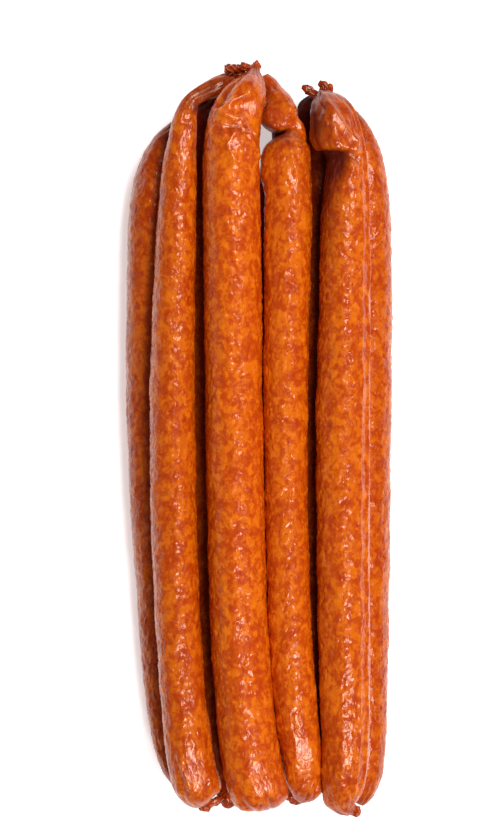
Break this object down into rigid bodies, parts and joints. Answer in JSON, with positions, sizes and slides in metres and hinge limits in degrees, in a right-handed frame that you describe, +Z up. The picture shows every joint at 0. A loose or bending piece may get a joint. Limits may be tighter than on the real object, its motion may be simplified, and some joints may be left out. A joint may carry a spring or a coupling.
{
  "type": "bunch of smoked sausages",
  "caption": "Bunch of long thin smoked sausages joined end to end by their twisted casing, lying flat in two nested layers.",
  "frame": {"origin": "on the table under the middle of the bunch's bounding box", "axes": "+Z up from the table, +Y along the links towards the ends that are joined by the larger knots, +X across the bunch to the right"},
  "size_m": [0.0916, 0.2608, 0.0342],
  "materials": {
    "smoked_casing": "satin",
    "twisted_casing": "satin"
  },
  "bodies": {
    "root": {"link_1_lower": "smoked_casing", "link_2_lower": "smoked_casing", "link_3_upper": "smoked_casing", "link_4_upper": "smoked_casing", "link_5_upper": "smoked_casing", "link_6_lower": "smoked_casing", "link_7_lower": "smoked_casing", "link_8_upper": "smoked_casing", "link_9_lower": "smoked_casing", "neck_upper_left": "twisted_casing", "neck_upper_right": "twisted_casing", "neck_lower_left": "twisted_casing"}
  },
  "joints": []
}
